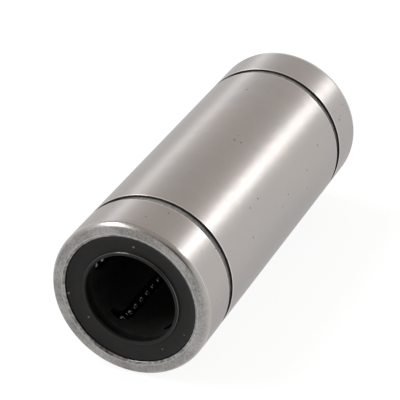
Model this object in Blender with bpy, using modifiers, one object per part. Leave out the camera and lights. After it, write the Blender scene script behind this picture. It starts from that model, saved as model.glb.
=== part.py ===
"""Linear ball bushing, long closed type, for a 16 mm shaft: 28 mm outside, 70 mm long.

The bushing lies along Y with its front end at -Y, +Z is up, and the origin is its centre.
A ground steel sleeve holds two resin cages, one behind each end. Each cage guides five
circuits of balls. In a circuit the load row rolls between the shaft and the sleeve, a half
turn lifts the balls off the shaft, and the return row runs back in a relief of the sleeve.
"""

import math

import bmesh
import bpy
from mathutils import Matrix

MM = 0.001

# Sleeve, whose ends are rounded so that it enters its housing
SHAFT_RADIUS = 8.0 * MM
SLEEVE_RADIUS = 14.0 * MM
SLEEVE_LENGTH = 70.0 * MM
LEAD_IN_LENGTH = 1.7 * MM
LEAD_IN_DROP = 0.55 * MM
LEAD_IN_STEPS = 3
GROOVE_SPAN = 53.0 * MM
GROOVE_WIDTH = 1.6 * MM
GROOVE_RADIUS = 13.5 * MM
RECESS_RADIUS = 11.65 * MM
RECESS_CHAMFER = 0.3 * MM
RECESS_DEPTH = 7.5 * MM
SLEEVE_STEPS = 32

# Balls and circuits
BALL_RADIUS = 2.381 / 2 * MM
BALL_PITCH = 2.34 * MM
BALLS_IN_ROW = 8
BALLS_IN_TURN = 3
END_BALL_SPACE = 1.26 * MM
CIRCUITS = 5
FIRST_ROW_ANGLE = math.radians(-155)
CIRCUIT_CENTRE = 18.1 * MM
BALL_RING_ANGLE = math.radians(24)
BALL_TIP_ANGLE = math.radians(75)
BALL_SIDES_LEVEL = 1
TURN_FIT_ROUNDS = 40

# Ball lands and reliefs in the sleeve's bore
LAND_CLEARANCE = 0.04 * MM
RELIEF_RADIUS = 11.6 * MM
RELIEF_START = math.radians(5)
RELIEF_END = math.radians(35.5)
RELIEF_STEPS = 2
RELIEF_RUNOUT = 0.5 * MM

# Cages
CAGE_BORE_RADIUS = 8.3 * MM
CAGE_RADIUS = 10.2 * MM
CAGE_RIM_RADIUS = 11.5 * MM
CAGE_RIM_PLAY = 0.25 * MM
CAGE_INNER_END = 0.15 * MM
CAGE_OUTER_DEPTH = 2.8 * MM
TRACK_RADIUS = 1.32 * MM
TRACK_HEIGHT = 3.2 * MM
TRACK_FLOOR_STEPS = 4
TURN_STEPS = 6
CAGE_STEPS = 26

# Stop rings, with depths from the end face
RING_NEAR_DEPTH = 1.8 * MM
RING_FAR_DEPTH = 2.7 * MM
RING_INNER_RADIUS = 9.7 * MM
RING_OUTER_RADIUS = 12.0 * MM
RING_GAP = 5.0 * MM
RING_GAP_OVERCUT = 1.0 * MM
RING_GROOVE_RADIUS = 12.15 * MM
RING_PLAY = 0.05 * MM
RING_STEPS = 20

# Seals, with depths from the end face
SEAL_RADIUS = 11.55 * MM
SEAL_RIM_DEPTH = 0.95 * MM
SEAL_FACE_DEPTH = 0.45 * MM
SEAL_FACE_OUTER = 11.0 * MM
SEAL_FACE_INNER = 9.2 * MM
SEAL_VALLEY_RADIUS = 8.75 * MM
SEAL_VALLEY_DEPTH = 0.65 * MM
SEAL_BACK_RADIUS = 8.75 * MM
SEAL_BACK_DEPTH = 1.7 * MM
LIP_RADIUS = 7.97 * MM
LIP_ROUND = 0.23 * MM
LIP_CREST_DEPTH = 0.33 * MM
LIP_END_DEPTH = 0.9 * MM
LIP_FOOT_ANGLE = math.radians(20)
LIP_STEPS = 3
SEAL_STEPS = 24

# Finishes: colour, roughness and metallic value
GROUND_STEEL = ((0.42, 0.39, 0.375), 0.28, 1.0)
BALL_STEEL = ((0.62, 0.62, 0.63), 0.1, 1.0)
SPRING_STEEL = ((0.2, 0.2, 0.21), 0.4, 1.0)
BLACK_RESIN = ((0.012, 0.012, 0.012), 0.45, 0.0)
BLACK_RUBBER = ((0.022, 0.02, 0.019), 0.55, 0.0)

# Points nearer than this are one
MERGE_DISTANCE = 0.001 * MM

LOAD_RADIUS = SHAFT_RADIUS + BALL_RADIUS
LAND_RADIUS = LOAD_RADIUS + BALL_RADIUS + LAND_CLEARANCE
ROW_LENGTH = (BALLS_IN_ROW - 1) * BALL_PITCH + 2 * END_BALL_SPACE
HALF_LENGTH = SLEEVE_LENGTH / 2
RECESS_END = HALF_LENGTH - RECESS_DEPTH


def arc_pitch(radius):
    """Distance along an arc between balls whose centres are one ball pitch apart."""
    return 2 * radius * math.asin(BALL_PITCH / (2 * radius))


def turn_radius():
    """The radius of a half turn that its balls just fill."""
    radius = BALLS_IN_TURN * BALL_PITCH / math.pi
    for _ in range(TURN_FIT_ROUNDS):
        radius = ((BALLS_IN_TURN - 1) * arc_pitch(radius) + 2 * END_BALL_SPACE) / math.pi
    return radius


TURN_RADIUS = turn_radius()


def new_collection(name):
    collection = bpy.data.collections.new(name)
    bpy.context.scene.collection.children.link(collection)
    return collection


def material(name, finish):
    colour, roughness, metallic = finish
    made = bpy.data.materials.new(name)
    made.use_nodes = True
    shader = made.node_tree.nodes["Principled BSDF"]
    shader.inputs["Base Color"].default_value = (*colour, 1.0)
    shader.inputs["Roughness"].default_value = roughness
    shader.inputs["Metallic"].default_value = metallic
    return made


def row_angle(number):
    """A load row's angle about the Y axis, from +Z towards +X."""
    return FIRST_ROW_ANGLE + number * 2 * math.pi / CIRCUITS


def circuit_matrix(side, number):
    """The circuit's own axes: origin at the load row's middle, X towards the return row, Y along
    the bushing and Z outwards. All of the circuit's ball centres lie in the plane Z = 0."""
    along = Matrix.Translation((0, side * CIRCUIT_CENTRE, LOAD_RADIUS))
    return Matrix.Rotation(row_angle(number), 4, "Y") @ along


def arc(centre, radius, start, end, steps):
    """Points on an arc, with both ends."""
    angles = [start + (end - start) * i / steps for i in range(steps + 1)]
    return [(centre[0] + radius * math.cos(a), centre[1] + radius * math.sin(a)) for a in angles]


def mirrored(profile):
    """The outline of the other end, still running the same way round."""
    return [(radius, -height) for radius, height in reversed(profile)]


def turned(name, profile, steps, finish, parts):
    """A closed outline of (radius, y) points, turned about the Y axis."""
    mesh = bpy.data.meshes.new(name)
    points = [(radius, 0, height) for radius, height in profile]
    edges = [(i, (i + 1) % len(points)) for i in range(len(points))]
    mesh.from_pydata(points, edges, [])
    mesh.materials.append(finish)
    obj = bpy.data.objects.new(name, mesh)
    obj.rotation_euler = (math.radians(-90), 0, 0)
    parts.objects.link(obj)
    screw = obj.modifiers.new("Turn", "SCREW")
    screw.axis = "Z"
    screw.steps = steps
    screw.render_steps = steps
    screw.use_merge_vertices = True
    screw.merge_threshold = MERGE_DISTANCE
    screw.use_smooth_shade = True
    return obj


def poly_curve(name, points, collection):
    """A closed flat curve through the points."""
    curve = bpy.data.curves.new(name, "CURVE")
    curve.dimensions = "2D"
    spline = curve.splines.new("POLY")
    spline.points.add(len(points) - 1)
    for point, (x, y) in zip(spline.points, points):
        point.co = (x, y, 0, 1)
    spline.use_cyclic_u = True
    obj = bpy.data.objects.new(name, curve)
    collection.objects.link(obj)
    return obj


def hide_cutter(obj):
    obj.hide_render = True
    obj.display_type = "WIRE"


def as_cutter(curve_object, cutters):
    """Replaces a curve by its closed mesh, which a Boolean can take."""
    bpy.context.view_layer.update()
    graph = bpy.context.evaluated_depsgraph_get()
    mesh = bpy.data.meshes.new_from_object(curve_object.evaluated_get(graph))
    work = bmesh.new()
    work.from_mesh(mesh)
    bmesh.ops.remove_doubles(work, verts=work.verts, dist=MERGE_DISTANCE)
    bmesh.ops.recalc_face_normals(work, faces=work.faces)
    work.to_mesh(mesh)
    work.free()
    cutter = bpy.data.objects.new(f"{curve_object.name}_cutter", mesh)
    cutter.matrix_world = curve_object.matrix_world
    hide_cutter(cutter)
    cutters.objects.link(cutter)
    bpy.data.objects.remove(curve_object)


def cut(obj, cutters):
    boolean = obj.modifiers.new("Cut", "BOOLEAN")
    boolean.operation = "DIFFERENCE"
    boolean.solver = "EXACT"
    boolean.operand_type = "COLLECTION"
    boolean.collection = cutters


def lead_in():
    """The rounded end of the sleeve's outside, from its end face to the ground surface."""
    radius = (LEAD_IN_LENGTH**2 + LEAD_IN_DROP**2) / (2 * LEAD_IN_DROP)
    centre = (SLEEVE_RADIUS - radius, HALF_LENGTH - LEAD_IN_LENGTH)
    return arc(centre, radius, math.asin(LEAD_IN_LENGTH / radius), 0, LEAD_IN_STEPS)


def make_sleeve(parts, steel):
    """A turned tube whose bore has a land for each load row and a relief beside it."""
    groove_outer = GROOVE_SPAN / 2
    groove_inner = groove_outer - GROOVE_WIDTH
    ring_groove_far = HALF_LENGTH - RING_FAR_DEPTH - RING_PLAY
    ring_groove_near = HALF_LENGTH - RING_NEAR_DEPTH + RING_PLAY
    outside = [
        *lead_in(),
        (SLEEVE_RADIUS, groove_outer),
        (GROOVE_RADIUS, groove_outer),
        (GROOVE_RADIUS, groove_inner),
        (SLEEVE_RADIUS, groove_inner),
    ]
    inside = [
        (LAND_RADIUS, RECESS_END),
        (RECESS_RADIUS, RECESS_END),
        (RECESS_RADIUS, ring_groove_far),
        (RING_GROOVE_RADIUS, ring_groove_far),
        (RING_GROOVE_RADIUS, ring_groove_near),
        (RECESS_RADIUS, ring_groove_near),
        (RECESS_RADIUS, HALF_LENGTH - RECESS_CHAMFER),
        (RECESS_RADIUS + RECESS_CHAMFER, HALF_LENGTH),
    ]
    profile = outside + mirrored(outside) + mirrored(inside) + inside
    sleeve = turned("outer_sleeve", profile, SLEEVE_STEPS, steel, parts)

    cutters = new_collection("sleeve_cutters")
    # The outline's X becomes the bushing's Z and its Y becomes X, so that it is extruded along Y.
    stand_up = Matrix(((0, 1, 0, 0), (0, 0, 1, 0), (1, 0, 0, 0), (0, 0, 0, 1)))
    for number in range(CIRCUITS):
        start = row_angle(number) + RELIEF_START
        end = row_angle(number) + RELIEF_END
        outline = arc((0, 0), RELIEF_RADIUS, start, end, RELIEF_STEPS)
        outline += arc((0, 0), LOAD_RADIUS, end, start, RELIEF_STEPS)
        relief = poly_curve(f"relief_{number + 1}", outline, cutters)
        relief.data.fill_mode = "BOTH"
        relief.data.extrude = RECESS_END + RELIEF_RUNOUT
        relief.matrix_world = stand_up
        as_cutter(relief, cutters)
    cut(sleeve, cutters)


def racetrack():
    """The closed path of a circuit's ball centres: two rows and two half turns."""
    half_row = ROW_LENGTH / 2
    rear_turn = arc((TURN_RADIUS, half_row), TURN_RADIUS, math.pi, 0, TURN_STEPS)
    front_turn = arc((TURN_RADIUS, -half_row), TURN_RADIUS, 0, -math.pi, TURN_STEPS)
    return rear_turn + front_turn


def make_cage(end, side, parts, resin):
    """A resin tube with a rim at its outer end and a racetrack for each circuit. The track is
    round below the ball centres, so its slot at the bore is narrower than a ball."""
    outer_end = HALF_LENGTH - CAGE_OUTER_DEPTH
    rim_end = RECESS_END + CAGE_RIM_PLAY
    profile = [
        (CAGE_RIM_RADIUS, outer_end),
        (CAGE_RIM_RADIUS, rim_end),
        (CAGE_RADIUS, rim_end),
        (CAGE_RADIUS, CAGE_INNER_END),
        (CAGE_BORE_RADIUS, CAGE_INNER_END),
        (CAGE_BORE_RADIUS, outer_end),
    ]
    if side < 0:
        profile = mirrored(profile)
    cage = turned(f"{end}_cage", profile, CAGE_STEPS, resin, parts)

    cutters = new_collection(f"{end}_cage_cutters")
    outline = arc((0, 0), TRACK_RADIUS, -math.pi, 0, TRACK_FLOOR_STEPS)
    outline += [(TRACK_RADIUS, TRACK_HEIGHT), (-TRACK_RADIUS, TRACK_HEIGHT)]
    section = poly_curve(f"{end}_track_section", outline, cutters)
    for number in range(CIRCUITS):
        track = poly_curve(f"{end}_track_{number + 1}", racetrack(), cutters)
        track.data.bevel_mode = "OBJECT"
        track.data.bevel_object = section
        track.matrix_world = circuit_matrix(side, number)
        as_cutter(track, cutters)
    bpy.data.objects.remove(section)
    cut(cage, cutters)


def make_stop_ring(end, side, parts, steel):
    """A flat ring, open at the bottom so that it can be squeezed into its groove."""
    near = HALF_LENGTH - RING_NEAR_DEPTH
    far = HALF_LENGTH - RING_FAR_DEPTH
    profile = [
        (RING_OUTER_RADIUS, near),
        (RING_OUTER_RADIUS, far),
        (RING_INNER_RADIUS, far),
        (RING_INNER_RADIUS, near),
    ]
    if side < 0:
        profile = mirrored(profile)
    ring = turned(f"{end}_stop_ring", profile, RING_STEPS, steel, parts)

    cutters = new_collection(f"{end}_ring_cutters")
    bpy.ops.mesh.primitive_cube_add(size=1)
    gap = bpy.context.object
    gap.name = f"{end}_ring_gap"
    gap.scale = (RING_GAP, near - far + 2 * RING_GAP_OVERCUT, RING_OUTER_RADIUS)
    gap.location = (0, side * (near + far) / 2, -RING_OUTER_RADIUS)
    hide_cutter(gap)
    for collection in list(gap.users_collection):
        collection.objects.unlink(gap)
    cutters.objects.link(gap)
    cut(ring, cutters)


def make_seal(end, side, parts, rubber):
    """A rubber wiper: a body that fills the recess, a shallow valley and a round lip."""
    lip_centre = (LIP_RADIUS + LIP_ROUND, HALF_LENGTH - LIP_CREST_DEPTH - LIP_ROUND)
    profile = [
        (SEAL_FACE_OUTER, HALF_LENGTH - SEAL_FACE_DEPTH),
        (SEAL_RADIUS, HALF_LENGTH - SEAL_RIM_DEPTH),
        (SEAL_RADIUS, HALF_LENGTH - SEAL_BACK_DEPTH),
        (SEAL_BACK_RADIUS, HALF_LENGTH - SEAL_BACK_DEPTH),
        (LIP_RADIUS, HALF_LENGTH - LIP_END_DEPTH),
        *arc(lip_centre, LIP_ROUND, math.pi, LIP_FOOT_ANGLE, LIP_STEPS),
        (SEAL_VALLEY_RADIUS, HALF_LENGTH - SEAL_VALLEY_DEPTH),
        (SEAL_FACE_INNER, HALF_LENGTH - SEAL_FACE_DEPTH),
    ]
    if side < 0:
        profile = mirrored(profile)
    turned(f"{end}_seal", profile, SEAL_STEPS, rubber, parts)


def ball_string(name, count, pitch, place, steel):
    """Touching balls, as one tube that swells to each ball. place() turns a distance along the
    string, from its middle, into a point."""
    ring_offset = BALL_RADIUS * math.sin(BALL_RING_ANGLE)
    tip_offset = BALL_RADIUS * math.sin(BALL_TIP_ANGLE)
    stations = []
    for i in range(count):
        centre = (i - (count - 1) / 2) * pitch
        start_offset = -tip_offset if i == 0 else -BALL_PITCH / 2
        stations += [(centre, start_offset), (centre, -ring_offset), (centre, ring_offset)]
    stations.append((centre, tip_offset))
    curve = bpy.data.curves.new(name, "CURVE")
    curve.dimensions = "3D"
    curve.bevel_depth = BALL_RADIUS
    curve.bevel_resolution = BALL_SIDES_LEVEL
    curve.use_fill_caps = True
    curve.materials.append(steel)
    spline = curve.splines.new("POLY")
    spline.points.add(len(stations) - 1)
    for point, (centre, offset) in zip(spline.points, stations):
        x, y = place(centre + offset)
        point.co = (x, y, 0, 1)
        point.radius = math.sqrt(1 - (offset / BALL_RADIUS) ** 2)
    return bpy.data.objects.new(name, curve)


def along_row(distance):
    return 0, distance


def along_front_turn(distance):
    angle = distance / TURN_RADIUS
    return TURN_RADIUS * math.sin(angle), -TURN_RADIUS * math.cos(angle)


def along_rear_turn(distance):
    x, y = along_front_turn(distance)
    return x, -y


def make_circuit(end, side, number, parts, steel):
    """The four strings of one circuit. Each string's origin is where it slides or turns."""
    frame = bpy.data.objects.new(f"{end}_circuit_{number + 1}", None)
    frame.empty_display_size = BALL_RADIUS
    frame.matrix_world = circuit_matrix(side, number)
    parts.objects.link(frame)
    turn_pitch = arc_pitch(TURN_RADIUS)
    front_turn = "outer_turn" if side < 0 else "inner_turn"
    rear_turn = "inner_turn" if side < 0 else "outer_turn"
    half_row = ROW_LENGTH / 2
    strings = [
        ("load", BALLS_IN_ROW, BALL_PITCH, along_row, (0, 0, 0)),
        ("return", BALLS_IN_ROW, BALL_PITCH, along_row, (2 * TURN_RADIUS, 0, 0)),
        (front_turn, BALLS_IN_TURN, turn_pitch, along_front_turn, (TURN_RADIUS, -half_row, 0)),
        (rear_turn, BALLS_IN_TURN, turn_pitch, along_rear_turn, (TURN_RADIUS, half_row, 0)),
    ]
    for stretch, count, pitch, place, location in strings:
        string = ball_string(f"{end}_{stretch}_balls_{number + 1}", count, pitch, place, steel)
        string.parent = frame
        string.location = location
        parts.objects.link(string)


def main():
    for obj in list(bpy.data.objects):
        bpy.data.objects.remove(obj)
    parts = new_collection("linear_ball_bushing")
    sleeve_steel = material("ground_steel", GROUND_STEEL)
    ball_steel = material("polished_ball_steel", BALL_STEEL)
    ring_steel = material("spring_steel", SPRING_STEEL)
    cage_resin = material("black_resin", BLACK_RESIN)
    seal_rubber = material("black_rubber", BLACK_RUBBER)
    make_sleeve(parts, sleeve_steel)
    for end, side in (("front", -1), ("rear", 1)):
        make_cage(end, side, parts, cage_resin)
        make_stop_ring(end, side, parts, ring_steel)
        make_seal(end, side, parts, seal_rubber)
        for number in range(CIRCUITS):
            make_circuit(end, side, number, parts, ball_steel)


main()
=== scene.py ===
"""Looks of a long linear ball bushing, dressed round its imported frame.

The bushing lies along Y with its front end at -Y. Every piece sits at the origin, in metres, with
its place in its mesh.
"""

import math

import bmesh
import bpy
from mathutils import Matrix, Vector


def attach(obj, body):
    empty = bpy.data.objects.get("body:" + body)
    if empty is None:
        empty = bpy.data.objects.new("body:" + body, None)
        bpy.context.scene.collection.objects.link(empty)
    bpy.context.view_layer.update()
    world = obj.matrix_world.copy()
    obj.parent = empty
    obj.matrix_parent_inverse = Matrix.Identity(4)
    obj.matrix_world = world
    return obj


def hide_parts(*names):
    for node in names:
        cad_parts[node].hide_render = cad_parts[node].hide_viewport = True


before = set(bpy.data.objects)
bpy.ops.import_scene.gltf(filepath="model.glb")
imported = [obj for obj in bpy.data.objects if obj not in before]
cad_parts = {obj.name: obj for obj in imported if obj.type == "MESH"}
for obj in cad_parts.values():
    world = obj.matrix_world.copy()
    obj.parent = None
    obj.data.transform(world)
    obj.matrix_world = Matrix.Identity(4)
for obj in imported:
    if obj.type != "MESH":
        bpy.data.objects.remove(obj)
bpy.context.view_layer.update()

MM = 0.001

# Sleeve
SLEEVE_RADIUS = 14.0 * MM
HALF_LENGTH = 35.0 * MM
LEAD_IN_LENGTH = 1.7 * MM
LEAD_IN_DROP = 0.53 * MM
LEAD_IN_POWER = 3.8
LEAD_IN_STEPS = 12
GROOVE_OUTER = 26.5 * MM
GROOVE_INNER = 24.9 * MM
GROOVE_RADIUS = 13.5 * MM
GROUND_END = 34.05 * MM
RECESS_RADIUS = 11.56 * MM
RECESS_EDGE_ROUND = 0.18 * MM
CHAMFER_RADIUS = 12.01 * MM
CHAMFER_DEPTH = 0.21 * MM
RECESS_END = 27.5 * MM
LAND_RADIUS = 10.421 * MM
RELIEF_RADIUS = 11.6 * MM
RELIEF_START = math.radians(4.9)
RELIEF_END = math.radians(35.5)
RELIEF_STEPS = 12
RELIEF_RUNOUT = 0.5 * MM
SLEEVE_STEPS = 192

# Balls and circuits
BALL_RADIUS = 1.165 * MM
BALL_PITCH = 2.34 * MM
BALLS_IN_ROW = 8
BALLS_IN_TURN = 3
CIRCUITS = 5
FIRST_ROW_ANGLE = math.radians(-155)
CIRCUIT_CENTRE = 18.1 * MM
LOAD_RADIUS = 9.1905 * MM
ROW_LENGTH = 18.9 * MM
TURN_RADIUS = 2.360743 * MM
TURN_PITCH = 2 * TURN_RADIUS * math.asin(BALL_PITCH / (2 * TURN_RADIUS))
BALL_SMOOTHNESS = 2

# Cages
CAGE_BORE_RADIUS = 8.3 * MM
CAGE_RADIUS = 10.2 * MM
CAGE_RIM_RADIUS = 11.5 * MM
CAGE_RIM_END = 27.75 * MM
CAGE_INNER_END = 0.15 * MM
CAGE_OUTER_END = 32.2 * MM
TRACK_RADIUS = 1.32 * MM
TRACK_HEIGHT = 3.2 * MM
TRACK_FLOOR_STEPS = 12
TRACK_TURN_STEPS = 16
CAGE_STEPS = 120
CAGE_RIM_ROUND = 0.15 * MM
CAGE_EDGE_ROUND = 0.1 * MM
CAGE_MOUTH_ROUND = 0.05 * MM

# Snap rings
RING_NEAR = 33.2 * MM
RING_FAR = 32.3 * MM
RING_INNER_RADIUS = 9.7 * MM
RING_OUTER_RADIUS = 12.0 * MM
RING_GROOVE_RADIUS = 12.15 * MM
RING_PLAY = 0.05 * MM
RING_GAP_HALF_ANGLE = math.radians(13)
RING_STEPS = 96
RING_EDGE_ROUND = 0.12 * MM

# Seals, with depths from the end face
SEAL_RADIUS = 11.51 * MM
SEAL_FACE_DEPTH = 0.85 * MM
SEAL_RIM_DEPTH = 0.48 * MM
DISH_RADIUS = 10.7 * MM
DISH_ROUND = 3.0 * MM
SEAL_RIM_ROUND = 0.06 * MM
SEAL_OUTER_ROUND = 0.08 * MM
SEAL_INNER_ROUND = 0.1 * MM
SEAL_BACK_DEPTH = 1.7 * MM
SEAL_BACK_RADIUS = 8.75 * MM
LIP_RADIUS = 7.97 * MM
LIP_OUTER_RADIUS = 8.53 * MM
LIP_CREST_DEPTH = 0.33 * MM
LIP_END_DEPTH = 0.9 * MM
LIP_INNER_ROUND = 0.2 * MM
LIP_OUTER_ROUND = 0.3 * MM
LIP_FOOT_RADIUS = 8.7 * MM
LIP_FOOT_ROUND = 0.12 * MM
SEAL_STEPS = 160

# Edges: the rounding of a broken edge, and the narrow flat beside it that keeps shading true
ROUND_STEPS = 5
FLAT_BESIDE_ROUND = 0.05 * MM
SHARP_ANGLE = math.radians(32)
SHARP_EDGE_BREAK = 0.06 * MM
FACE_EDGE_BREAK = 0.06 * MM

# Finishes
GROOVE_EDGE_HIGHLIGHT_WIDTH = 0.17 * MM
WEAR_AND_HIGHLIGHT_WIDTH = 0.15 * MM
RIM_WEAR_SETBACK = 0.05 * MM
RUN_OUT_SHARE = 1.3
DUST_INNER_RADIUS = 9.2 * MM
SHOULDER_SETBACK = 0.03 * MM
SHOULDER_WIDTH = 0.12 * MM
SHALLOW_BUMP = 0.01 * MM
DEEP_BUMP = 0.02 * MM

# Which finish a face of the sleeve has
TURNED, GROUND, SCALE_AND_SHADE, GROOVE_FLOOR, CHAMFER_PAINTED_SHADE = range(5)

# Camera, fitted to the photograph
CAMERA_PLACE = (0.1151342, -0.273812, 0.1675779)
CAMERA_YAW = math.radians(23.2596)
CAMERA_PITCH = math.radians(29.3588)
CAMERA_LENS = 175.154

# Floor, room and lamps
FLOOR_REACH = 3.0
PAPER_SHADE = 0.17
PAPER_GLOW = 0.88
WALL_COLOUR = (1.0, 1.0, 1.0)
CEILING_COLOUR = (0.6, 0.558, 0.53)
CEILING_START = 0.38
CEILING_FULL = 0.62
HORIZON_WHITE = 0.1
HORIZON_DARK = 0.2
LAMP_COLOUR = (0.96, 0.985, 1.0)


def circuit_matrix(side, number):
    """A circuit's own axes: origin at the load row's middle, X towards the return row, Y along the
    bushing and Z outwards."""
    angle = FIRST_ROW_ANGLE + number * 2 * math.pi / CIRCUITS
    along = Matrix.Translation((0, side * CIRCUIT_CENTRE, LOAD_RADIUS))
    return Matrix.Rotation(angle, 4, "Y") @ along


# Mesh making


def new_piece(name, mesh):
    piece = bpy.data.objects.new(name, mesh)
    bpy.context.scene.collection.objects.link(piece)
    return piece


def mesh_from(work, name):
    """A closed bmesh as a plain mesh that faces outwards."""
    bmesh.ops.recalc_face_normals(work, faces=work.faces)
    mesh = bpy.data.meshes.new(name)
    work.to_mesh(mesh)
    work.free()
    return mesh


def smooth(mesh):
    """Shades a mesh smooth apart from its sharp edges."""
    mesh.shade_smooth()
    mesh.set_sharp_from_angle(angle=SHARP_ANGLE)


def paint(mesh, finishes, choose):
    """Gives a mesh its finishes. choose says which of them a face has."""
    mesh.materials.clear()
    for finish in finishes:
        mesh.materials.append(finish)
    for face in mesh.polygons:
        face.material_index = choose(face)


def rounded(corners):
    """Points of a closed outline of (radius, y, rounding) corners. A corner with a rounding becomes
    an arc, with a narrow flat on both sides of it."""
    points = []
    for i, (radius, y, rounding) in enumerate(corners):
        corner = Vector((radius, y))
        if not rounding:
            points.append(corner)
            continue
        back = (Vector(corners[i - 1][:2]) - corner).normalized()
        ahead = (Vector(corners[(i + 1) % len(corners)][:2]) - corner).normalized()
        half = back.angle(ahead) / 2
        reach = rounding / math.tan(half)
        centre = corner + (back + ahead).normalized() * rounding / math.sin(half)
        spoke = corner + back * reach - centre
        sweep = math.copysign(math.pi - 2 * half, back.cross(ahead))
        points.append(corner + back * (reach + FLAT_BESIDE_ROUND))
        for step in range(ROUND_STEPS + 1):
            points.append(centre + Matrix.Rotation(-sweep * step / ROUND_STEPS, 2) @ spoke)
        points.append(corner + ahead * (reach + FLAT_BESIDE_ROUND))
    return points


def mirrored(corners):
    """The outline of the other end, still running the same way round."""
    return [(radius, -y, rounding) for radius, y, rounding in reversed(corners)]


def turned(name, outline, steps, gap=0.0):
    """A closed outline of (radius, y) points turned about the Y axis. A gap leaves the ring open at
    the bottom by that angle to each side."""
    work = bmesh.new()
    whole_turn = 2 * (math.pi - gap)
    rings = []
    for step in range(steps + 1 if gap else steps):
        angle = gap - math.pi + whole_turn * step / steps
        turn = (math.sin(angle), math.cos(angle))
        rings.append([work.verts.new((r * turn[0], y, r * turn[1])) for r, y in outline])
    pairs = list(zip(rings, rings[1:]))
    if gap:
        work.faces.new(rings[0])
        work.faces.new(rings[-1])
    else:
        pairs.append((rings[-1], rings[0]))
    for here, there in pairs:
        for i in range(len(outline)):
            work.faces.new((here[i - 1], here[i], there[i], there[i - 1]))
    return mesh_from(work, name)


# Node trees


def node(tree, kind, inputs=None, **settings):
    """A new node. An input is set to a value or linked to another node's output."""
    made = tree.nodes.new(kind)
    for name, value in settings.items():
        setattr(made, name, value)
    for key, value in (inputs or {}).items():
        if isinstance(value, bpy.types.NodeSocket):
            tree.links.new(value, made.inputs[key])
        else:
            made.inputs[key].default_value = value
    return made


def math_node(tree, operation, *values):
    return node(tree, "ShaderNodeMath", dict(enumerate(values)), operation=operation).outputs[0]


def new_tree(name, kind, inputs, outputs):
    """A node group with named sockets, its input node and its output node."""
    tree = bpy.data.node_groups.new(name, kind)
    for socket, socket_type in inputs:
        tree.interface.new_socket(name=socket, in_out="INPUT", socket_type=socket_type)
    for socket, socket_type in outputs:
        tree.interface.new_socket(name=socket, in_out="OUTPUT", socket_type=socket_type)
    return tree, tree.nodes.new("NodeGroupInput"), tree.nodes.new("NodeGroupOutput")


def run_tree(piece, tree, values):
    """Runs a geometry tree on a piece with the named values and keeps the plain mesh it makes."""
    modifier = piece.modifiers.new(tree.name, "NODES")
    modifier.node_group = tree
    for item in tree.interface.items_tree:
        if item.in_out == "INPUT" and item.name in values:
            modifier[item.identifier] = values[item.name]
    bpy.context.view_layer.update()
    graph = bpy.context.evaluated_depsgraph_get()
    mesh = bpy.data.meshes.new_from_object(piece.evaluated_get(graph), depsgraph=graph)
    piece.modifiers.clear()
    piece.data = mesh


def ball_string_tree(name, bent):
    """Single balls at an even pitch, in a straight row or round a half turn."""
    tree, given, result = new_tree(
        name,
        "GeometryNodeTree",
        [
            ("Ball Radius", "NodeSocketFloat"),
            ("Ball Count", "NodeSocketInt"),
            ("Pitch", "NodeSocketFloat"),
            ("Turn Radius", "NodeSocketFloat"),
            ("Smoothness", "NodeSocketInt"),
            ("Finish", "NodeSocketMaterial"),
        ],
        [("Balls", "NodeSocketGeometry")],
    )
    given = given.outputs
    last = math_node(tree, "SUBTRACT", given["Ball Count"], 1.0)
    middle = math_node(tree, "MULTIPLY", last, 0.5)
    index = node(tree, "GeometryNodeInputIndex").outputs[0]
    from_middle = math_node(tree, "SUBTRACT", index, middle)
    distance = math_node(tree, "MULTIPLY", from_middle, given["Pitch"])
    if bent:
        radius = given["Turn Radius"]
        angle = math_node(tree, "DIVIDE", distance, radius)
        across = math_node(tree, "MULTIPLY", math_node(tree, "SINE", angle), radius)
        back = math_node(tree, "MULTIPLY", math_node(tree, "COSINE", angle), radius)
        along = math_node(tree, "MULTIPLY", back, -1.0)
        place = node(tree, "ShaderNodeCombineXYZ", {"X": across, "Y": along})
    else:
        place = node(tree, "ShaderNodeCombineXYZ", {"Y": distance})
    points = node(
        tree, "GeometryNodePoints", {"Count": given["Ball Count"], "Position": place.outputs[0]}
    )
    ball = node(
        tree,
        "GeometryNodeMeshIcoSphere",
        {"Radius": given["Ball Radius"], "Subdivisions": given["Smoothness"]},
    )
    string = node(
        tree,
        "GeometryNodeInstanceOnPoints",
        {"Points": points.outputs[0], "Instance": ball.outputs["Mesh"]},
    )
    whole = node(tree, "GeometryNodeRealizeInstances", {"Geometry": string.outputs[0]})
    round_balls = node(tree, "GeometryNodeSetShadeSmooth", {"Geometry": whole.outputs[0]})
    finished = node(
        tree,
        "GeometryNodeSetMaterial",
        {"Geometry": round_balls.outputs[0], "Material": given["Finish"]},
    )
    tree.links.new(finished.outputs[0], result.inputs[0])
    return tree


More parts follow.
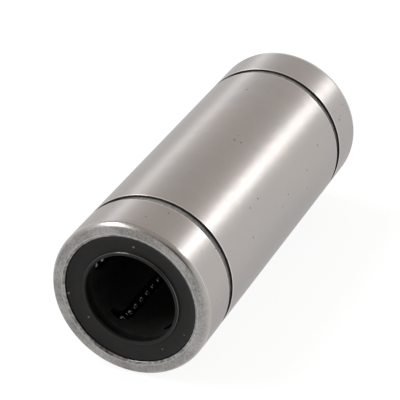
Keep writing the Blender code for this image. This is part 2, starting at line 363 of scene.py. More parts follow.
def cuts_round_bore_tree():
    """Cuts one shape out of a turned piece several times, evenly spaced about the Y axis."""
    tree, given, result = new_tree(
        "cuts_round_bore",
        "GeometryNodeTree",
        [
            ("Turned Piece", "NodeSocketGeometry"),
            ("Cutter", "NodeSocketObject"),
            ("Cuts", "NodeSocketInt"),
            ("First Angle", "NodeSocketFloat"),
            ("Finish", "NodeSocketMaterial"),
        ],
        [("Cut Piece", "NodeSocketGeometry")],
    )
    given = given.outputs
    cutter = node(tree, "GeometryNodeObjectInfo", {"Object": given["Cutter"]})
    index = node(tree, "GeometryNodeInputIndex").outputs[0]
    step = math_node(tree, "DIVIDE", 2 * math.pi, given["Cuts"])
    angle = math_node(tree, "MULTIPLY_ADD", index, step, given["First Angle"])
    turn = node(tree, "ShaderNodeCombineXYZ", {"Y": angle})
    points = node(tree, "GeometryNodePoints", {"Count": given["Cuts"]})
    cutters = node(
        tree,
        "GeometryNodeInstanceOnPoints",
        {
            "Points": points.outputs[0],
            "Instance": cutter.outputs["Geometry"],
            "Rotation": turn.outputs[0],
        },
    )
    placed = node(tree, "GeometryNodeRealizeInstances", {"Geometry": cutters.outputs[0]})
    cut = node(
        tree,
        "GeometryNodeMeshBoolean",
        {"Mesh 1": given["Turned Piece"], "Mesh 2": placed.outputs[0]},
        operation="DIFFERENCE",
        solver="EXACT",
    )
    whole = node(tree, "GeometryNodeRealizeInstances", {"Geometry": cut.outputs["Mesh"]})
    finished = node(
        tree,
        "GeometryNodeSetMaterial",
        {"Geometry": whole.outputs[0], "Material": given["Finish"]},
    )
    tree.links.new(finished.outputs[0], result.inputs[0])
    return tree


def cut_round_bore(piece, tree, cutter_mesh, finish):
    """Cuts a shape out of the piece once for each circuit, then takes the cutter away."""
    cutter = new_piece(f"{piece.name}_cutter", cutter_mesh)
    values = {
        "Cutter": cutter,
        "Cuts": CIRCUITS,
        "First Angle": FIRST_ROW_ANGLE,
        "Finish": finish,
    }
    run_tree(piece, tree, values)
    bpy.data.objects.remove(cutter)
    paint(piece.data, [finish], lambda face: 0)
    smooth(piece.data)


# Effects that several finishes share


def radial_distance(tree, place):
    """How far a place is from the Y axis."""
    across = node(tree, "ShaderNodeVectorMath", {0: place, 1: (1, 0, 1)}, operation="MULTIPLY")
    return node(
        tree, "ShaderNodeVectorMath", {0: across.outputs[0]}, operation="LENGTH"
    ).outputs["Value"]


def near(tree, value, centre, width):
    """1 close to the centre, falling to 0 at a width from it."""
    full_width = width * 0.4
    distance = math_node(tree, "ABSOLUTE", math_node(tree, "SUBTRACT", value, centre))
    return node(
        tree,
        "ShaderNodeMapRange",
        {"Value": distance, "From Min": width, "From Max": full_width},
    ).outputs[0]


def mottle_group():
    """Slow, soft change of tone over a surface, from 0 to 1."""
    tree, given, result = new_tree(
        "mottle",
        "ShaderNodeTree",
        [("Place", "NodeSocketVector"), ("Patches per Metre", "NodeSocketFloat")],
        [("Tone", "NodeSocketFloat")],
    )
    noise = node(
        tree,
        "ShaderNodeTexNoise",
        {
            "Vector": given.outputs["Place"],
            "Scale": given.outputs["Patches per Metre"],
            "Detail": 3.0,
            "Roughness": 0.55,
        },
    )
    tone = node(
        tree,
        "ShaderNodeMapRange",
        {"Value": noise.outputs[0], "From Min": 0.3, "From Max": 0.7},
        interpolation_type="SMOOTHSTEP",
    )
    tree.links.new(tone.outputs[0], result.inputs[0])
    return tree


def tool_marks_group():
    """Fine marks that run round the Y axis, as grinding and turning leave them. Height is for bump,
    and Streak is a broader change from mark to mark."""
    tree, given, result = new_tree(
        "tool_marks",
        "ShaderNodeTree",
        [("Place", "NodeSocketVector"), ("Marks per Metre", "NodeSocketFloat")],
        [("Height", "NodeSocketFloat"), ("Streak", "NodeSocketFloat")],
    )
    place = node(tree, "ShaderNodeSeparateXYZ", {"Vector": given.outputs["Place"]}).outputs
    radius = radial_distance(tree, given.outputs["Place"])
    across = math_node(tree, "ADD", radius, place["Y"])
    count = math_node(tree, "MULTIPLY", across, given.outputs["Marks per Metre"])
    slow = 90.0
    marks = node(
        tree,
        "ShaderNodeCombineXYZ",
        {
            "X": math_node(tree, "MULTIPLY", place["X"], slow),
            "Y": count,
            "Z": math_node(tree, "MULTIPLY", place["Z"], slow),
        },
    ).outputs[0]
    fine = node(tree, "ShaderNodeTexNoise", {"Vector": marks, "Scale": 1.0, "Detail": 2.0})
    broad = node(tree, "ShaderNodeTexNoise", {"Vector": marks, "Scale": 0.23, "Detail": 1.0})
    tree.links.new(fine.outputs[0], result.inputs["Height"])
    tree.links.new(broad.outputs[0], result.inputs["Streak"])
    return tree


def specks_group():
    """Small scattered spots, such as pits in steel or dust on rubber: 1 in a spot, 0 elsewhere."""
    tree, given, result = new_tree(
        "specks",
        "ShaderNodeTree",
        [
            ("Place", "NodeSocketVector"),
            ("Cells per Metre", "NodeSocketFloat"),
            ("Share of Cells", "NodeSocketFloat"),
            ("Spot Size", "NodeSocketFloat"),
        ],
        [("Spot", "NodeSocketFloat")],
    )
    wander = node(
        tree,
        "ShaderNodeTexNoise",
        {"Vector": given.outputs["Place"], "Scale": 2500.0, "Detail": 2.0},
    )
    reach = (0.3 * MM, 0.3 * MM, 0.3 * MM)
    shaken = node(
        tree,
        "ShaderNodeVectorMath",
        {0: wander.outputs["Color"], 1: reach, 2: given.outputs["Place"]},
        operation="MULTIPLY_ADD",
    )
    cells = node(
        tree,
        "ShaderNodeTexVoronoi",
        {"Vector": shaken.outputs[0], "Scale": given.outputs["Cells per Metre"]},
    )
    draw = node(tree, "ShaderNodeSeparateColor", {"Color": cells.outputs["Color"]})
    chosen = math_node(tree, "LESS_THAN", draw.outputs["Red"], given.outputs["Share of Cells"])
    size = math_node(tree, "MULTIPLY", given.outputs["Spot Size"], draw.outputs["Green"])
    inside = node(
        tree,
        "ShaderNodeMapRange",
        {
            "Value": cells.outputs["Distance"],
            "From Min": size,
            "From Max": math_node(tree, "MULTIPLY", size, 0.5),
        },
    )
    tree.links.new(math_node(tree, "MULTIPLY", chosen, inside.outputs[0]), result.inputs[0])
    return tree


mottle = mottle_group()
tool_marks = tool_marks_group()
specks = specks_group()


# Finishes


def new_finish(name, metallic, **plain):
    """A material, its tree, its shader and the Object coordinates that its patterns read. plain
    sets values that are the same all over the surface."""
    made = bpy.data.materials.new(name)
    made.use_nodes = True
    tree = made.node_tree
    shader = tree.nodes["Principled BSDF"]
    shader.inputs["Metallic"].default_value = metallic
    for socket, value in plain.items():
        shader.inputs[socket.replace("_", " ")].default_value = value
    place = node(tree, "ShaderNodeTexCoord").outputs["Object"]
    return made, tree, shader, place


def effect(tree, group, inputs):
    """Places a shared effect with its own values."""
    placed = tree.nodes.new("ShaderNodeGroup")
    placed.node_tree = group
    for key, value in inputs.items():
        if isinstance(value, bpy.types.NodeSocket):
            tree.links.new(value, placed.inputs[key])
        else:
            placed.inputs[key].default_value = value
    return placed.outputs


def blend_colours(tree, share, first, second):
    """The first colour where the share is 0 and the second where it is 1."""
    mix = node(tree, "ShaderNodeMix", data_type="RGBA")
    for socket, value in ((mix.inputs[0], share), (mix.inputs[6], first), (mix.inputs[7], second)):
        if isinstance(value, bpy.types.NodeSocket):
            tree.links.new(value, socket)
        elif isinstance(value, tuple):
            socket.default_value = (*value, 1.0)
        else:
            socket.default_value = value
    return mix.outputs[2]


def spread(tree, value, low, high):
    """A 0 to 1 value, spread from low to high."""
    return node(
        tree, "ShaderNodeMapRange", {"Value": value, "To Min": low, "To Max": high}
    ).outputs[0]


def bump(tree, shader, height, depth, strength):
    made = node(
        tree, "ShaderNodeBump", {"Height": height, "Distance": depth, "Strength": strength}
    )
    tree.links.new(made.outputs[0], shader.inputs["Normal"])


def ground_steel_finish():
    """The ground outside: warm grey, fine marks round it and a few dark pits. A lighter band along
    each groove edge is a painted highlight of its edge break; near the lead-in it is wear.
    """
    made, tree, shader, place = new_finish(
        "ground_outside_steel", metallic=1.0, Specular_Tint=(0.7, 0.7, 0.7, 1.0)
    )
    tone = effect(tree, mottle, {"Place": place, "Patches per Metre": 110.0})["Tone"]
    marks = effect(tree, tool_marks, {"Place": place, "Marks per Metre": 1600.0})
    spots = effect(
        tree,
        specks,
        {"Place": place, "Cells per Metre": 620.0, "Share of Cells": 0.8, "Spot Size": 0.17},
    )["Spot"]
    crowds = effect(tree, mottle, {"Place": place, "Patches per Metre": 80.0})["Tone"]
    crowds = node(
        tree, "ShaderNodeMapRange", {"Value": crowds, "From Min": 0.5, "From Max": 0.7}
    ).outputs[0]
    pits = math_node(tree, "MULTIPLY", spots, crowds)
    waves = effect(tree, mottle, {"Place": place, "Patches per Metre": 150.0})["Tone"]
    steel = blend_colours(tree, tone, (0.44, 0.404, 0.386), (0.425, 0.4, 0.386))
    along = node(tree, "ShaderNodeSeparateXYZ", {"Vector": place}).outputs["Y"]
    along = math_node(tree, "ABSOLUTE", along)
    # Painted highlight: a lighter band along each groove edge.
    groove_edge_highlight = math_node(
        tree,
        "MAXIMUM",
        near(tree, along, GROOVE_OUTER + SHARP_EDGE_BREAK, GROOVE_EDGE_HIGHLIGHT_WIDTH),
        near(tree, along, GROOVE_INNER - SHARP_EDGE_BREAK, GROOVE_EDGE_HIGHLIGHT_WIDTH),
    )
    rim = near(tree, along, GROUND_END - RIM_WEAR_SETBACK, WEAR_AND_HIGHLIGHT_WIDTH)
    rim = math_node(tree, "MULTIPLY", rim, tone)
    wear_and_highlight = math_node(tree, "MAXIMUM", groove_edge_highlight, rim)
    wear_and_highlight = math_node(tree, "MULTIPLY", wear_and_highlight, 0.8)
    worn_and_lit = blend_colours(tree, wear_and_highlight, steel, (0.72, 0.69, 0.67))
    shade = blend_colours(tree, pits, worn_and_lit, (0.13, 0.118, 0.11))
    tree.links.new(shade, shader.inputs["Base Color"])
    tree.links.new(spread(tree, marks["Streak"], 0.27, 0.33), shader.inputs["Roughness"])
    fine_marks = math_node(tree, "MULTIPLY", marks["Height"], 0.1)
    height = math_node(tree, "SUBTRACT", fine_marks, pits)
    height = math_node(tree, "MULTIPLY_ADD", waves, 10.0, height)
    bump(tree, shader, height, SHALLOW_BUMP, strength=0.2)
    return made


def groove_scale_and_shade_finish():
    """The walls of the outside grooves: the dark scale of the hardening, painted darker still as
    the shade that falls in the grooves.
    """
    made, tree, shader, place = new_finish("groove_scale", metallic=1.0)
    tone = effect(tree, mottle, {"Place": place, "Patches per Metre": 900.0})["Tone"]
    marks = effect(tree, tool_marks, {"Place": place, "Marks per Metre": 4000.0})
    # Scale, and painted shade: darker than any other steel here.
    tree.links.new(
        blend_colours(tree, tone, (0.06, 0.057, 0.054), (0.1, 0.096, 0.092)),
        shader.inputs["Base Color"],
    )
    tree.links.new(spread(tree, marks["Streak"], 0.25, 0.4), shader.inputs["Roughness"])
    bump(tree, shader, marks["Height"], SHALLOW_BUMP, strength=0.3)
    return made


def groove_floor_finish():
    """The floors of the outside grooves: rough turned steel with marks round it."""
    made, tree, shader, place = new_finish("groove_floor_steel", metallic=1.0)
    tone = effect(tree, mottle, {"Place": place, "Patches per Metre": 1200.0})["Tone"]
    marks = effect(tree, tool_marks, {"Place": place, "Marks per Metre": 4000.0})
    tree.links.new(
        blend_colours(tree, tone, (0.3, 0.289, 0.279), (0.42, 0.405, 0.391)),
        shader.inputs["Base Color"],
    )
    tree.links.new(spread(tree, marks["Streak"], 0.72, 0.88), shader.inputs["Roughness"])
    bump(tree, shader, marks["Height"], DEEP_BUMP, strength=0.3)
    return made


def chamfer_painted_shade_finish():
    """The chamfered edge of the recess, smooth and slightly nicked, its steel painted dark as
    shade.
    """
    made, tree, shader, place = new_finish("burnished_edge", metallic=1.0)
    tone = effect(tree, mottle, {"Place": place, "Patches per Metre": 1500.0})["Tone"]
    # Painted shade: darker than the turned face beside it.
    tree.links.new(
        blend_colours(tree, tone, (0.14, 0.135, 0.131), (0.33, 0.318, 0.308)),
        shader.inputs["Base Color"],
    )
    tree.links.new(spread(tree, tone, 0.14, 0.22), shader.inputs["Roughness"])
    bump(tree, shader, tone, DEEP_BUMP, strength=0.2)
    return made


def turned_steel_finish():
    """The turned end faces and recesses: duller than the outside and speckled, but smoother on the
    lead-in, where grinding runs out. A lighter band at the chamfer edge is wear and a painted
    highlight."""
    made, tree, shader, place = new_finish("turned_steel", metallic=1.0)
    tone = effect(tree, mottle, {"Place": place, "Patches per Metre": 2600.0})["Tone"]
    marks = effect(tree, tool_marks, {"Place": place, "Marks per Metre": 5000.0})
    nicks = effect(
        tree,
        specks,
        {"Place": place, "Cells per Metre": 700.0, "Share of Cells": 0.15, "Spot Size": 0.2},
    )["Spot"]
    patches = effect(tree, mottle, {"Place": place, "Patches per Metre": 240.0})["Tone"]
    fine_marks = math_node(tree, "MULTIPLY", marks["Height"], 0.25)
    tone = math_node(tree, "MULTIPLY_ADD", tone, 0.75, fine_marks)
    dull = blend_colours(tree, tone, (0.145, 0.139, 0.133), (0.28, 0.269, 0.26))
    bright = blend_colours(tree, tone, (0.243, 0.234, 0.225), (0.405, 0.391, 0.378))
    grain = blend_colours(tree, patches, dull, bright)
    radius = radial_distance(tree, place)
    run_out_start = SLEEVE_RADIUS - RUN_OUT_SHARE * LEAD_IN_DROP
    run_out = node(
        tree,
        "ShaderNodeMapRange",
        {"Value": radius, "From Min": run_out_start, "From Max": SLEEVE_RADIUS},
    ).outputs[0]
    grain = blend_colours(tree, run_out, grain, (0.43, 0.4, 0.38))
    # Wear and a painted highlight: a lighter band along the chamfer edge.
    edge = near(tree, radius, CHAMFER_RADIUS, WEAR_AND_HIGHLIGHT_WIDTH)
    wear_and_highlight = math_node(tree, "MULTIPLY", edge, 0.5)
    worn_and_lit = blend_colours(tree, wear_and_highlight, grain, (0.55, 0.53, 0.51))
    shade = blend_colours(tree, nicks, worn_and_lit, (0.14, 0.133, 0.127))
    tree.links.new(shade, shader.inputs["Base Color"])
    streaks = spread(tree, marks["Streak"], 0.3, 0.45)
    smoother = spread(tree, run_out, 1.0, 0.6)
    tree.links.new(math_node(tree, "MULTIPLY", streaks, smoother), shader.inputs["Roughness"])
    bump(tree, shader, marks["Height"], DEEP_BUMP, strength=0.3)
    return made


def shaded_ball_steel_finish():
    """Polished balls with a thin film of grease, painted dark as the shade inside the bushing."""
    made, tree, shader, place = new_finish("polished_ball_steel", metallic=1.0)
    film = effect(tree, mottle, {"Place": place, "Patches per Metre": 900.0})["Tone"]
    # Painted shade: much darker than polished steel.
    tree.links.new(
        blend_colours(tree, film, (0.15, 0.15, 0.152), (0.1, 0.098, 0.095)),
        shader.inputs["Base Color"],
    )
    tree.links.new(spread(tree, film, 0.08, 0.14), shader.inputs["Roughness"])
    return made


def spring_steel_finish():
    """Dark oiled spring steel."""
    made, tree, shader, place = new_finish("dark_spring_steel", metallic=1.0)
    tone = effect(tree, mottle, {"Place": place, "Patches per Metre": 500.0})["Tone"]
    marks = effect(tree, tool_marks, {"Place": place, "Marks per Metre": 6000.0})
    tree.links.new(
        blend_colours(tree, tone, (0.1, 0.1, 0.105), (0.2, 0.2, 0.205)),
        shader.inputs["Base Color"],
    )
    tree.links.new(spread(tree, marks["Streak"], 0.3, 0.45), shader.inputs["Roughness"])
    bump(tree, shader, marks["Height"], DEEP_BUMP, strength=0.3)
    return made


def cage_resin_finish():
    """Moulded black resin, slightly oily."""
    made, tree, shader, place = new_finish(
        "black_cage_resin", metallic=0.0, Specular_IOR_Level=0.1
    )
    tone = effect(tree, mottle, {"Place": place, "Patches per Metre": 700.0})["Tone"]
    tree.links.new(
        blend_colours(tree, tone, (0.022, 0.022, 0.0217), (0.032, 0.032, 0.0315)),
        shader.inputs["Base Color"],
    )
    tree.links.new(spread(tree, tone, 0.4, 0.55), shader.inputs["Roughness"])
    return made


def seal_rubber_finish():
    """Moulded black rubber with a fine grain and specks of dust, and a shine on its lip."""
    made, tree, shader, place = new_finish(
        "black_seal_rubber",
        metallic=0.0,
        Specular_IOR_Level=0.2,
        Coat_Roughness=0.15,
        Coat_IOR=2.0,
    )
    tone = effect(tree, mottle, {"Place": place, "Patches per Metre": 400.0})["Tone"]
    grain = effect(tree, mottle, {"Place": place, "Patches per Metre": 6000.0})["Tone"]
    dust = effect(
        tree,
        specks,
        {"Place": place, "Cells per Metre": 450.0, "Share of Cells": 0.8, "Spot Size": 0.17},
    )["Spot"]
    radius = radial_distance(tree, place)
    off_lip = math_node(tree, "GREATER_THAN", radius, DUST_INNER_RADIUS)
    dust = math_node(tree, "MULTIPLY", dust, off_lip)
    rubber = blend_colours(tree, tone, (0.014, 0.013, 0.0125), (0.019, 0.0178, 0.017))
    tree.links.new(
        blend_colours(tree, dust, rubber, (0.36, 0.35, 0.34)),
        shader.inputs["Base Color"],
    )
    tree.links.new(spread(tree, grain, 0.42, 0.56), shader.inputs["Roughness"])
    bump(tree, shader, grain, SHALLOW_BUMP, strength=0.3)
    shoulder = near(tree, radius, LIP_OUTER_RADIUS + SHOULDER_SETBACK, SHOULDER_WIDTH)
    tree.links.new(math_node(tree, "MULTIPLY", shoulder, 0.8), shader.inputs["Coat Weight"])
    return made


ground_steel = ground_steel_finish()
groove_scale = groove_scale_and_shade_finish()
groove_floor = groove_floor_finish()
burnished_edge = chamfer_painted_shade_finish()
turned_steel = turned_steel_finish()
shaded_ball_steel = shaded_ball_steel_finish()
spring_steel = spring_steel_finish()
cage_resin = cage_resin_finish()
seal_rubber = seal_rubber_finish()


# Pieces


def dress(piece, body, node_name):
    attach(piece, body)
    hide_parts(node_name)


def lead_in():
    """The rounded end of the sleeve's outside, from its end face to the ground surface. It bends
    most near the end face."""
    corners = [(SLEEVE_RADIUS - LEAD_IN_DROP, HALF_LENGTH, FACE_EDGE_BREAK)]
    for step in range(LEAD_IN_STEPS - 1, -1, -1):
        share = step / LEAD_IN_STEPS
        y = HALF_LENGTH - LEAD_IN_LENGTH * (1 - share)
        corners.append((SLEEVE_RADIUS - LEAD_IN_DROP * share**LEAD_IN_POWER, y, 0))
    return corners


def relief_cutter():
    """The long pocket beside a load row in which the return row runs, for a row at angle 0."""
    work = bmesh.new()
    reach = RECESS_END + RELIEF_RUNOUT
    ends = []
    for y in (-reach, reach):
        angles = [
            RELIEF_START + (RELIEF_END - RELIEF_START) * step / RELIEF_STEPS
            for step in range(RELIEF_STEPS + 1)
        ]
        outline = [(RELIEF_RADIUS, a) for a in angles] + [(LOAD_RADIUS, a) for a in angles[::-1]]
        ends.append([work.verts.new((r * math.sin(a), y, r * math.cos(a))) for r, a in outline])
    work.faces.new(ends[0])
    work.faces.new(ends[1])
    for i in range(len(ends[0])):
        work.faces.new((ends[0][i - 1], ends[0][i], ends[1][i], ends[1][i - 1]))
    return mesh_from(work, "relief_cutter")


def sleeve_finish(face):
    """Which finish a face of the sleeve has, from where it lies and which way it faces."""
    radius = math.hypot(face.center.x, face.center.z)
    along = abs(face.center.y)
    if along > HALF_LENGTH - 2 * CHAMFER_DEPTH and radius < CHAMFER_RADIUS:
        return CHAMFER_PAINTED_SHADE
    if along > GROUND_END or radius < GROOVE_RADIUS - SHARP_EDGE_BREAK:
        return TURNED
    if GROOVE_INNER < along < GROOVE_OUTER and radius < SLEEVE_RADIUS - SHARP_EDGE_BREAK:
        is_wall = abs(face.normal.y) > 0.5
        return SCALE_AND_SHADE if is_wall else GROOVE_FLOOR
    return GROUND


def make_sleeve(cuts):
    outside = lead_in() + [
        (SLEEVE_RADIUS, GROOVE_OUTER, SHARP_EDGE_BREAK),
        (GROOVE_RADIUS, GROOVE_OUTER, SHARP_EDGE_BREAK),
        (GROOVE_RADIUS, GROOVE_INNER, SHARP_EDGE_BREAK),
        (SLEEVE_RADIUS, GROOVE_INNER, SHARP_EDGE_BREAK),
    ]
    ring_groove_far = RING_FAR - RING_PLAY
    ring_groove_near = RING_NEAR + RING_PLAY
    inside = [
        (LAND_RADIUS, RECESS_END, 0),
        (RECESS_RADIUS, RECESS_END, 0),
        (RECESS_RADIUS, ring_groove_far, 0),
        (RING_GROOVE_RADIUS, ring_groove_far, 0),
        (RING_GROOVE_RADIUS, ring_groove_near, 0),
        (RECESS_RADIUS, ring_groove_near, 0),
        (RECESS_RADIUS, HALF_LENGTH - CHAMFER_DEPTH, RECESS_EDGE_ROUND),
        (CHAMFER_RADIUS, HALF_LENGTH, FACE_EDGE_BREAK),
    ]
    outline = rounded(outside + mirrored(outside) + mirrored(inside) + inside)
    sleeve = new_piece("ground_sleeve", turned("ground_sleeve", outline, SLEEVE_STEPS))
    cut_round_bore(sleeve, cuts, relief_cutter(), turned_steel)
    finishes = [turned_steel, ground_steel, groove_scale, groove_floor, burnished_edge]
    paint(sleeve.data, finishes, sleeve_finish)
    dress(sleeve, "sleeve", "outer_sleeve")


def track_cutter(side):
    """The racetrack that guides one circuit, for a load row at angle 0. It is round below the ball
    centres, so that its slot at the bore is narrower than a ball."""
    work = bmesh.new()
    section = []
    for step in range(TRACK_FLOOR_STEPS + 1):
        angle = math.pi * (step / TRACK_FLOOR_STEPS - 1)
        section.append((TRACK_RADIUS * math.cos(angle), TRACK_RADIUS * math.sin(angle)))
    section += [(TRACK_RADIUS, TRACK_HEIGHT), (-TRACK_RADIUS, TRACK_HEIGHT)]
    rings = []
    for end in (1, -1):
        for step in range(TRACK_TURN_STEPS + 1):
            share = step / TRACK_TURN_STEPS
            angle = math.pi * (1 - share if end > 0 else -share)
            spoke = Vector((math.cos(angle), math.sin(angle), 0))
            y = side * CIRCUIT_CENTRE + end * ROW_LENGTH / 2
            centre = Vector((TURN_RADIUS, y, LOAD_RADIUS))
            path = centre + spoke * TURN_RADIUS
            rings.append([work.verts.new(path + spoke * u + Vector((0, 0, h))) for u, h in section])
    for k in range(len(rings)):
        for i in range(len(section)):
            work.faces.new((rings[k - 1][i - 1], rings[k - 1][i], rings[k][i], rings[k][i - 1]))
    return mesh_from(work, "track_cutter")


def make_cage(end, side, cuts):
    corners = [
        (CAGE_RIM_RADIUS, CAGE_OUTER_END, CAGE_RIM_ROUND),
        (CAGE_RIM_RADIUS, CAGE_RIM_END, CAGE_EDGE_ROUND),
        (CAGE_RADIUS, CAGE_RIM_END, CAGE_EDGE_ROUND),
        (CAGE_RADIUS, CAGE_INNER_END, CAGE_EDGE_ROUND),
        (CAGE_BORE_RADIUS, CAGE_INNER_END, CAGE_EDGE_ROUND),
        (CAGE_BORE_RADIUS, CAGE_OUTER_END, CAGE_MOUTH_ROUND),
    ]
    if side < 0:
        corners = mirrored(corners)
    name = f"{end}_ball_cage"
    cage = new_piece(name, turned(name, rounded(corners), CAGE_STEPS))
    cut_round_bore(cage, cuts, track_cutter(side), cage_resin)
    dress(cage, "sleeve", f"{end}_cage")


def make_snap_ring(end, side):
    corners = [
        (RING_OUTER_RADIUS, RING_NEAR, RING_EDGE_ROUND),
        (RING_OUTER_RADIUS, RING_FAR, RING_EDGE_ROUND),
        (RING_INNER_RADIUS, RING_FAR, RING_EDGE_ROUND),
        (RING_INNER_RADIUS, RING_NEAR, RING_EDGE_ROUND),
    ]
    if side < 0:
        corners = mirrored(corners)
    name = f"{end}_snap_ring"
    mesh = turned(name, rounded(corners), RING_STEPS, gap=RING_GAP_HALF_ANGLE)
    mesh.materials.append(spring_steel)
    smooth(mesh)
    dress(new_piece(name, mesh), "sleeve", f"{end}_stop_ring")


def make_seal(end, side):
    corners = [
        (DISH_RADIUS, HALF_LENGTH - SEAL_FACE_DEPTH, DISH_ROUND),
        (SEAL_RADIUS, HALF_LENGTH - SEAL_RIM_DEPTH, SEAL_RIM_ROUND),
        (SEAL_RADIUS, HALF_LENGTH - SEAL_BACK_DEPTH, SEAL_OUTER_ROUND),
        (SEAL_BACK_RADIUS, HALF_LENGTH - SEAL_BACK_DEPTH, SEAL_INNER_ROUND),
        (LIP_RADIUS, HALF_LENGTH - LIP_END_DEPTH, SEAL_INNER_ROUND),
        (LIP_RADIUS, HALF_LENGTH - LIP_CREST_DEPTH, LIP_INNER_ROUND),
        (LIP_OUTER_RADIUS, HALF_LENGTH - LIP_CREST_DEPTH, LIP_OUTER_ROUND),
        (LIP_FOOT_RADIUS, HALF_LENGTH - SEAL_FACE_DEPTH, LIP_FOOT_ROUND),
    ]
    if side < 0:
        corners = mirrored(corners)
    name = f"{end}_wiper_seal"
    mesh = turned(name, rounded(corners), SEAL_STEPS)
    mesh.materials.append(seal_rubber)
    smooth(mesh)
    dress(new_piece(name, mesh), "sleeve", f"{end}_seal")


def make_circuit(end, side, number, row_tree, turn_tree):
    """The four strings of balls of one circuit, each on its own body."""
    place = circuit_matrix(side, number)
    half_row = ROW_LENGTH / 2
    front_turn = Matrix.Translation((TURN_RADIUS, -half_row, 0))
    rear_turn = Matrix.Translation((TURN_RADIUS, half_row, 0)) @ Matrix.Rotation(math.pi, 4, "Z")
    outer_turn, inner_turn = (front_turn, rear_turn) if side < 0 else (rear_turn, front_turn)
    strings = [
        ("load", "row", row_tree, Matrix.Identity(4)),
        ("return", "row", row_tree, Matrix.Translation((2 * TURN_RADIUS, 0, 0))),
        ("outer_turn", "bend", turn_tree, outer_turn),
        ("inner_turn", "bend", turn_tree, inner_turn),
    ]
    for stretch, form, tree, offset in strings:
        name = f"{end}_{stretch}_{form}_{number + 1}"
        string = new_piece(name, bpy.data.meshes.new(name))
        straight = form == "row"
        values = {
            "Ball Radius": BALL_RADIUS,
            "Ball Count": BALLS_IN_ROW if straight else BALLS_IN_TURN,
            "Pitch": BALL_PITCH if straight else TURN_PITCH,
            "Turn Radius": TURN_RADIUS,
            "Smoothness": BALL_SMOOTHNESS,
            "Finish": shaded_ball_steel,
        }
        run_tree(string, tree, values)
        string.data.transform(place @ offset)
        node_name = f"{end}_{stretch}_balls_{number + 1}"
        dress(string, node_name, node_name)


cuts = cuts_round_bore_tree()
row_tree = ball_string_tree("ball_row", bent=False)
turn_tree = ball_string_tree("ball_half_turn", bent=True)
make_sleeve(cuts)
for end, side in (("front", -1), ("rear", 1)):
    make_cage(end, side, cuts)
    make_snap_ring(end, side)
    make_seal(end, side)
    for number in range(CIRCUITS):
        make_circuit(end, side, number, row_tree, turn_tree)


# Floor, light and camera


def floor_finish():
    """White paper: it looks white to the eye and in the steel, and keeps the bushing's shadow."""
    made = bpy.data.materials.new("white_paper")
    made.use_nodes = True
    tree = made.node_tree
    tree.nodes.clear()
    grey = (PAPER_SHADE, PAPER_SHADE, PAPER_SHADE, 1.0)
    paper = node(tree, "ShaderNodeBsdfDiffuse", {"Color": grey})
    rays = node(tree, "ShaderNodeLightPath").outputs
    eye_or_mirror = math_node(tree, "MAXIMUM", rays["Is Camera Ray"], rays["Is Glossy Ray"])
    seen = math_node(tree, "MAXIMUM", eye_or_mirror, rays["Is Transmission Ray"])
    strength = math_node(tree, "MULTIPLY", seen, PAPER_GLOW)
    glow = node(tree, "ShaderNodeEmission", {"Strength": strength})
    both = node(tree, "ShaderNodeAddShader", {0: paper.outputs[0], 1: glow.outputs[0]})
    node(tree, "ShaderNodeOutputMaterial", {"Surface": both.outputs[0]})
    return made


def make_floor():
    """A wide floor that the bushing rests on."""
    work = bmesh.new()
    bmesh.ops.create_grid(work, x_segments=1, y_segments=1, size=FLOOR_REACH)
    mesh = bpy.data.meshes.new("floor")
    work.to_mesh(mesh)
    work.free()
    mesh.transform(Matrix.Translation((0, 0, -SLEEVE_RADIUS)))
    mesh.materials.append(floor_finish())
    floor = new_piece("floor", mesh)


def dark_region(tree, direction, centre, edge, inside, depth):
    """How dark a direction is, for a soft round region about a centre. edge and inside are the
    cosines at which it starts and is darkest."""
    towards = node(
        tree,
        "ShaderNodeVectorMath",
        {0: direction, 1: Vector(centre).normalized()},
        operation="DOT_PRODUCT",
    ).outputs["Value"]
    return node(
        tree,
        "ShaderNodeMapRange",
        {"Value": towards, "From Min": edge, "From Max": inside, "To Max": depth},
        interpolation_type="SMOOTHSTEP",
    ).outputs[0]


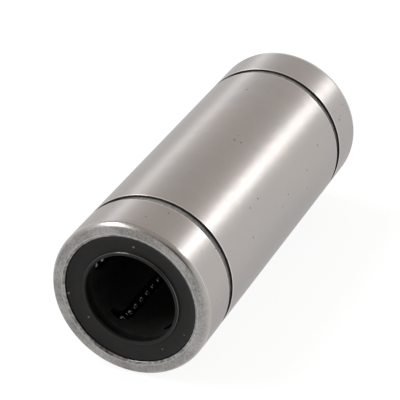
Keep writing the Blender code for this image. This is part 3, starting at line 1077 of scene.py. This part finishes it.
def make_room():
    """White walls that grow darker and warmer towards the ceiling, with two dark regions in front
    of the bushing that its steel mirrors. They stay off the horizon, so a background is white."""
    world = bpy.data.worlds.new("white_room")
    bpy.context.scene.world = world
    world.use_nodes = True
    tree = world.node_tree
    tree.nodes.clear()
    direction = node(tree, "ShaderNodeTexCoord").outputs["Generated"]
    height = node(tree, "ShaderNodeSeparateXYZ", {"Vector": direction}).outputs["Z"]
    ceiling = node(
        tree,
        "ShaderNodeMapRange",
        {"Value": height, "From Min": CEILING_START, "From Max": CEILING_FULL},
        interpolation_type="SMOOTHSTEP",
    ).outputs[0]
    walls = blend_colours(tree, ceiling, WALL_COLOUR, CEILING_COLOUR)
    above = dark_region(tree, direction, (0.5, -0.75, 0.45), edge=0.85, inside=0.97, depth=1.0)
    ahead = dark_region(tree, direction, (0.2, -0.97, 0.06), edge=0.875, inside=0.945, depth=0.9)
    off_horizon = node(
        tree,
        "ShaderNodeMapRange",
        {"Value": height, "From Min": HORIZON_WHITE, "From Max": HORIZON_DARK},
        interpolation_type="SMOOTHSTEP",
    ).outputs[0]
    dark = math_node(tree, "MAXIMUM", above, ahead)
    dark = math_node(tree, "MULTIPLY", dark, off_horizon)
    room = blend_colours(tree, dark, walls, (0.0, 0.0, 0.0))
    light = node(tree, "ShaderNodeBackground", {"Color": room})
    node(tree, "ShaderNodeOutputWorld", {"Surface": light.outputs[0]})


def make_softbox(name, direction, roll, distance, width, height, power):
    """A soft area lamp that faces the bushing from a direction, turned by roll about that line."""
    lamp = bpy.data.lights.new(name, "AREA")
    lamp.shape = "RECTANGLE"
    lamp.size = width
    lamp.size_y = height
    lamp.energy = power
    lamp.color = LAMP_COLOUR
    box = bpy.data.objects.new(name, lamp)
    towards = Vector(direction).normalized()
    box.location = towards * distance
    turn = towards.to_track_quat("Z", "Y").to_matrix().to_4x4() @ Matrix.Rotation(roll, 4, "Z")
    box.rotation_euler = turn.to_euler()
    bpy.context.scene.collection.objects.link(box)


def make_camera():
    lens = bpy.data.cameras.new("photo_camera")
    lens.lens = CAMERA_LENS
    camera = bpy.data.objects.new("photo_camera", lens)
    camera.location = CAMERA_PLACE
    camera.rotation_euler = (math.pi / 2 - CAMERA_PITCH, 0, CAMERA_YAW)
    bpy.context.scene.collection.objects.link(camera)
    bpy.context.scene.camera = camera


make_floor()
make_room()
make_softbox(
    "back_softbox",
    direction=(0.552, 0.66, 0.5),
    roll=math.radians(50),
    distance=1.1,
    width=0.2,
    height=0.8,
    power=1.6,
)
make_softbox(
    "left_softbox",
    direction=(-0.53, 0.82, 0.25),
    roll=math.radians(21.5),
    distance=1.2,
    width=0.4,
    height=0.18,
    power=0.3,
)
make_softbox(
    "key_softbox",
    direction=(-0.62, -0.15, 0.78),
    roll=0.0,
    distance=1.0,
    width=0.95,
    height=0.38,
    power=6.0,
)
make_camera()
bpy.context.scene.view_settings.view_transform = "Standard"
